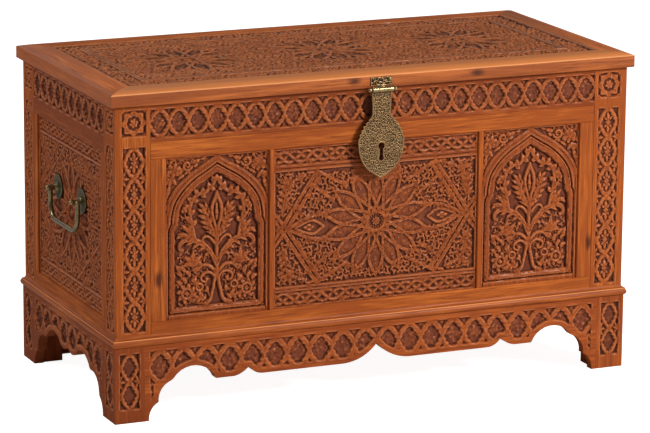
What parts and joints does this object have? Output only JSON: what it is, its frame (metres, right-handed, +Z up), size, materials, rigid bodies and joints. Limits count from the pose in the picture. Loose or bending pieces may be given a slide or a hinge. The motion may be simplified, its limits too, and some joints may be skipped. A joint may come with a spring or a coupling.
{
  "type": "dowry chest",
  "caption": "Carved hardwood dowry chest with a hinged lid, brass hasp over a mortised lock, bail handles at both ends and a scalloped skirt on bracket feet.",
  "frame": {"origin": "on the floor, under the middle of the chest", "axes": "+X to the right seen from the front, -Y towards the front, +Z up"},
  "size_m": [1.0424, 0.5117, 0.5953],
  "materials": {
    "carved_wood": "waxed, dark in the carved ground",
    "frame_wood": "waxed and worn smooth",
    "plain_wood": "plain, unpolished",
    "brass": "hammered and dulled",
    "dark_iron": "forged, dark"
  },
  "bodies": {
    "root": {"post_front_left": "carved_wood", "post_front_right": "carved_wood", "post_back_left": "carved_wood", "post_back_right": "carved_wood", "frieze_front": "carved_wood", "frieze_left": "carved_wood", "frieze_right": "carved_wood", "back_rail_top": "plain_wood", "back_rail_bottom": "plain_wood", "back_panel": "plain_wood", "front_rail_top": "frame_wood", "front_rail_bottom": "frame_wood", "stiles_front": "frame_wood", "muntins_front": "frame_wood", "panel_arch_left": "carved_wood", "panel_arch_right": "carved_wood", "panel_centre": "carved_wood", "rail_bottom_left": "frame_wood", "rail_bottom_right": "frame_wood", "stiles_left": "frame_wood", "stiles_right": "frame_wood", "panel_side_left": "carved_wood", "panel_side_right": "carved_wood", "bottom_board": "plain_wood", "base_moulding_front": "frame_wood", "base_moulding_left": "frame_wood", "base_moulding_right": "frame_wood", "base_moulding_back": "frame_wood", "foot_front_left": "carved_wood", "foot_front_right": "carved_wood", "foot_back_left": "carved_wood", "foot_back_right": "carved_wood", "apron_front": "carved_wood", "apron_left": "carved_wood", "apron_right": "carved_wood", "apron_back": "plain_wood", "hinge_leaves_body": "dark_iron", "hinge_pins": "dark_iron", "handle_left_plates": "brass", "handle_left_posts": "brass", "handle_right_plates": "brass", "handle_right_posts": "brass", "handle_nuts": "brass", "lock_case": "dark_iron", "lock_plate": "dark_iron"},
    "lid": {"lid_frame_front": "frame_wood", "lid_frame_back": "frame_wood", "lid_frame_left": "frame_wood", "lid_frame_right": "frame_wood", "lid_panel": "carved_wood", "lid_battens": "plain_wood", "hinge_leaves_lid": "dark_iron", "hasp_plate": "brass", "hasp_pin": "brass"},
    "hasp": {"hasp_leaf": "brass", "hasp_staple": "brass"},
    "bail_left": {"handle_left_bail": "brass"},
    "bail_right": {"handle_right_bail": "brass"},
    "lock_bolt": {"lock_bolt": "dark_iron"}
  },
  "joints": [
    {"name": "lid_hinge", "type": "hinge", "parent": "root", "child": "lid", "pos_m": [0, 0.2448, 0.56815], "axis": [-1, 0, 0], "range_deg": [0, 105]},
    {"name": "hasp_hinge", "type": "hinge", "parent": "lid", "child": "hasp", "pos_m": [0, -0.2562, 0.5658], "axis": [-1, 0, 0], "range_deg": [-4.5, 120]},
    {"name": "bail_left_hinge", "type": "hinge", "parent": "root", "child": "bail_left", "pos_m": [-0.5085, 0, 0.363], "axis": [0, 1, 0], "range_deg": [-6, 85]},
    {"name": "bail_right_hinge", "type": "hinge", "parent": "root", "child": "bail_right", "pos_m": [0.5085, 0, 0.363], "axis": [0, -1, 0], "range_deg": [-6, 85]},
    {"name": "bolt_slide", "type": "slide", "parent": "root", "child": "lock_bolt", "axis": [-1, 0, 0], "range_m": [0, 0.01]}
  ]
}
